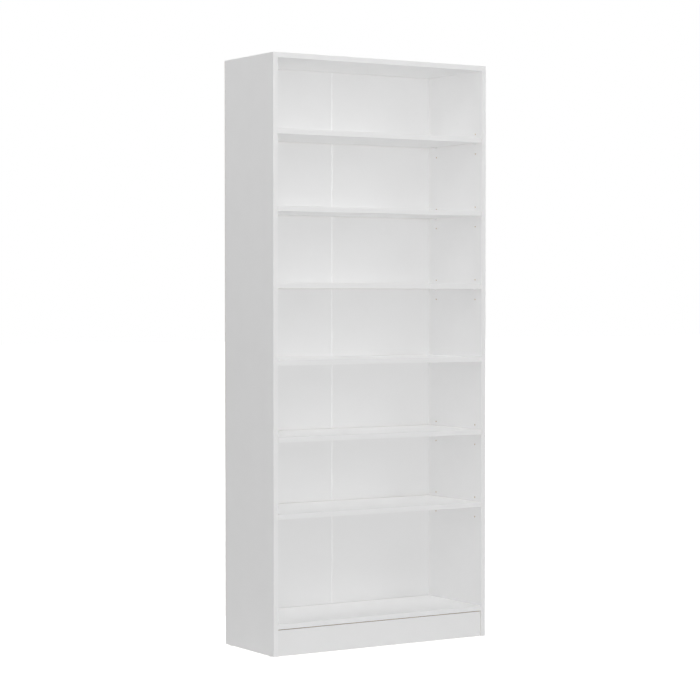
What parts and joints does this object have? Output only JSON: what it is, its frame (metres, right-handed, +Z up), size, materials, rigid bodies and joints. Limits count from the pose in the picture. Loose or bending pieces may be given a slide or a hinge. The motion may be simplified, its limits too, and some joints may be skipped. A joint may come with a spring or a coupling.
{
  "type": "bookcase",
  "caption": "Tall open bookcase on a plinth, with a fixed middle shelf and loose shelves that rest on pins at adjustable heights.",
  "frame": {"origin": "on the floor, at the middle of the case's width and depth", "axes": "+Z up, +X to the right seen from the open front, +Y to the back, so the open front faces -Y"},
  "size_m": [0.8, 0.309, 1.86],
  "materials": {
    "melamine_board": "white melamine on particleboard, fine pearl texture, satin",
    "edge_band": "white edge band, satin",
    "back_hardboard": "hardboard, white lacquer in front, raw brown behind",
    "white_plastic": "white moulded plastic",
    "steel": "zinc-plated steel",
    "pin_steel": "steel with a white powder coat",
    "zinc_casting": "die-cast zinc",
    "beech": "turned beech"
  },
  "bodies": {
    "case": {"left_side_panel": "melamine_board", "left_side_front_band": "edge_band", "left_side_top_band": "edge_band", "right_side_panel": "melamine_board", "right_side_front_band": "edge_band", "right_side_top_band": "edge_band", "top_panel": "melamine_board", "top_panel_edge_band": "edge_band", "bottom_panel": "melamine_board", "bottom_panel_edge_band": "edge_band", "fixed_shelf": "melamine_board", "fixed_shelf_edge_band": "edge_band", "plinth": "melamine_board", "back_sheet_left": "back_hardboard", "back_sheet_right": "back_hardboard", "back_joining_strip": "white_plastic", "back_nails": "steel", "cam_bolts": "steel", "cam_locks": "zinc_casting", "cam_covers": "white_plastic", "wooden_dowels": "beech", "plinth_brackets": "white_plastic", "plinth_bracket_screws": "steel", "floor_glides": "white_plastic", "floor_glide_nails": "steel"},
    "shelf_1": {"adjustable_shelf_1": "melamine_board", "adjustable_shelf_1_edge_band": "edge_band"},
    "shelf_2": {"adjustable_shelf_2": "melamine_board", "adjustable_shelf_2_edge_band": "edge_band"},
    "shelf_3": {"adjustable_shelf_3": "melamine_board", "adjustable_shelf_3_edge_band": "edge_band"},
    "shelf_4": {"adjustable_shelf_4": "melamine_board", "adjustable_shelf_4_edge_band": "edge_band"},
    "shelf_5": {"adjustable_shelf_5": "melamine_board", "adjustable_shelf_5_edge_band": "edge_band"},
    "shelf_1_pin_front_left": {"shelf_1_pin_front_left": "pin_steel"},
    "shelf_1_pin_front_right": {"shelf_1_pin_front_right": "pin_steel"},
    "shelf_1_pin_rear_left": {"shelf_1_pin_rear_left": "pin_steel"},
    "shelf_1_pin_rear_right": {"shelf_1_pin_rear_right": "pin_steel"},
    "shelf_2_pin_front_left": {"shelf_2_pin_front_left": "pin_steel"},
    "shelf_2_pin_front_right": {"shelf_2_pin_front_right": "pin_steel"},
    "shelf_2_pin_rear_left": {"shelf_2_pin_rear_left": "pin_steel"},
    "shelf_2_pin_rear_right": {"shelf_2_pin_rear_right": "pin_steel"},
    "shelf_3_pin_front_left": {"shelf_3_pin_front_left": "pin_steel"},
    "shelf_3_pin_front_right": {"shelf_3_pin_front_right": "pin_steel"},
    "shelf_3_pin_rear_left": {"shelf_3_pin_rear_left": "pin_steel"},
    "shelf_3_pin_rear_right": {"shelf_3_pin_rear_right": "pin_steel"},
    "shelf_4_pin_front_left": {"shelf_4_pin_front_left": "pin_steel"},
    "shelf_4_pin_front_right": {"shelf_4_pin_front_right": "pin_steel"},
    "shelf_4_pin_rear_left": {"shelf_4_pin_rear_left": "pin_steel"},
    "shelf_4_pin_rear_right": {"shelf_4_pin_rear_right": "pin_steel"},
    "shelf_5_pin_front_left": {"shelf_5_pin_front_left": "pin_steel"},
    "shelf_5_pin_front_right": {"shelf_5_pin_front_right": "pin_steel"},
    "shelf_5_pin_rear_left": {"shelf_5_pin_rear_left": "pin_steel"},
    "shelf_5_pin_rear_right": {"shelf_5_pin_rear_right": "pin_steel"}
  },
  "joints": [
    {"name": "shelf_1_pull_out", "type": "slide", "parent": "case", "child": "shelf_1", "axis": [0, -1, 0], "range_m": [0, 0.3]},
    {"name": "shelf_2_pull_out", "type": "slide", "parent": "case", "child": "shelf_2", "axis": [0, -1, 0], "range_m": [0, 0.3]},
    {"name": "shelf_3_pull_out", "type": "slide", "parent": "case", "child": "shelf_3", "axis": [0, -1, 0], "range_m": [0, 0.3]},
    {"name": "shelf_4_pull_out", "type": "slide", "parent": "case", "child": "shelf_4", "axis": [0, -1, 0], "range_m": [0, 0.3]},
    {"name": "shelf_5_pull_out", "type": "slide", "parent": "case", "child": "shelf_5", "axis": [0, -1, 0], "range_m": [0, 0.3]},
    {"name": "shelf_1_pin_front_left_pull_out", "type": "slide", "parent": "case", "child": "shelf_1_pin_front_left", "axis": [1, 0, 0], "range_m": [0, 0.009]},
    {"name": "shelf_1_pin_front_right_pull_out", "type": "slide", "parent": "case", "child": "shelf_1_pin_front_right", "axis": [-1, 0, 0], "range_m": [0, 0.009]},
    {"name": "shelf_1_pin_rear_left_pull_out", "type": "slide", "parent": "case", "child": "shelf_1_pin_rear_left", "axis": [1, 0, 0], "range_m": [0, 0.009]},
    {"name": "shelf_1_pin_rear_right_pull_out", "type": "slide", "parent": "case", "child": "shelf_1_pin_rear_right", "axis": [-1, 0, 0], "range_m": [0, 0.009]},
    {"name": "shelf_2_pin_front_left_pull_out", "type": "slide", "parent": "case", "child": "shelf_2_pin_front_left", "axis": [1, 0, 0], "range_m": [0, 0.009]},
    {"name": "shelf_2_pin_front_right_pull_out", "type": "slide", "parent": "case", "child": "shelf_2_pin_front_right", "axis": [-1, 0, 0], "range_m": [0, 0.009]},
    {"name": "shelf_2_pin_rear_left_pull_out", "type": "slide", "parent": "case", "child": "shelf_2_pin_rear_left", "axis": [1, 0, 0], "range_m": [0, 0.009]},
    {"name": "shelf_2_pin_rear_right_pull_out", "type": "slide", "parent": "case", "child": "shelf_2_pin_rear_right", "axis": [-1, 0, 0], "range_m": [0, 0.009]},
    {"name": "shelf_3_pin_front_left_pull_out", "type": "slide", "parent": "case", "child": "shelf_3_pin_front_left", "axis": [1, 0, 0], "range_m": [0, 0.009]},
    {"name": "shelf_3_pin_front_right_pull_out", "type": "slide", "parent": "case", "child": "shelf_3_pin_front_right", "axis": [-1, 0, 0], "range_m": [0, 0.009]},
    {"name": "shelf_3_pin_rear_left_pull_out", "type": "slide", "parent": "case", "child": "shelf_3_pin_rear_left", "axis": [1, 0, 0], "range_m": [0, 0.009]},
    {"name": "shelf_3_pin_rear_right_pull_out", "type": "slide", "parent": "case", "child": "shelf_3_pin_rear_right", "axis": [-1, 0, 0], "range_m": [0, 0.009]},
    {"name": "shelf_4_pin_front_left_pull_out", "type": "slide", "parent": "case", "child": "shelf_4_pin_front_left", "axis": [1, 0, 0], "range_m": [0, 0.009]},
    {"name": "shelf_4_pin_front_right_pull_out", "type": "slide", "parent": "case", "child": "shelf_4_pin_front_right", "axis": [-1, 0, 0], "range_m": [0, 0.009]},
    {"name": "shelf_4_pin_rear_left_pull_out", "type": "slide", "parent": "case", "child": "shelf_4_pin_rear_left", "axis": [1, 0, 0], "range_m": [0, 0.009]},
    {"name": "shelf_4_pin_rear_right_pull_out", "type": "slide", "parent": "case", "child": "shelf_4_pin_rear_right", "axis": [-1, 0, 0], "range_m": [0, 0.009]},
    {"name": "shelf_5_pin_front_left_pull_out", "type": "slide", "parent": "case", "child": "shelf_5_pin_front_left", "axis": [1, 0, 0], "range_m": [0, 0.009]},
    {"name": "shelf_5_pin_front_right_pull_out", "type": "slide", "parent": "case", "child": "shelf_5_pin_front_right", "axis": [-1, 0, 0], "range_m": [0, 0.009]},
    {"name": "shelf_5_pin_rear_left_pull_out", "type": "slide", "parent": "case", "child": "shelf_5_pin_rear_left", "axis": [1, 0, 0], "range_m": [0, 0.009]},
    {"name": "shelf_5_pin_rear_right_pull_out", "type": "slide", "parent": "case", "child": "shelf_5_pin_rear_right", "axis": [-1, 0, 0], "range_m": [0, 0.009]}
  ]
}
